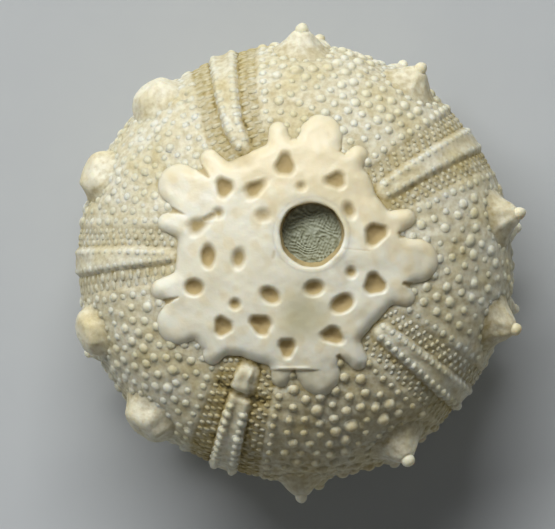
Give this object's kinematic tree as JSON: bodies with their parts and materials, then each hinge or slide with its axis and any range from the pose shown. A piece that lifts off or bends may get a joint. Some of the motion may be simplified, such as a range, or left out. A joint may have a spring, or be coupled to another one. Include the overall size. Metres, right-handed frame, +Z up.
{
  "type": "fossil sea urchin",
  "caption": "Fossil test of a small regular sea urchin: beaded dome with cone-shaped tubercles and a smooth pitted apical disc, resting on its mouth side.",
  "frame": {"origin": "centre of the flat mouth face that the fossil rests on, on the vertical axis of the dome", "axes": "+Z up through the apical disc, the top of the picture towards +Y and its right side towards +X"},
  "size_m": [0.0128, 0.0136, 0.0073],
  "materials": {
    "calcite": "matt cream calcite with brown dirt in its hollows",
    "sediment": "rough grey-green hardened sediment",
    "mouth_sediment": "rough grey-green hardened sediment"
  },
  "bodies": {
    "root": {"test": "calcite", "periproct_sediment": "sediment", "peristome_sediment": "mouth_sediment"}
  },
  "joints": []
}
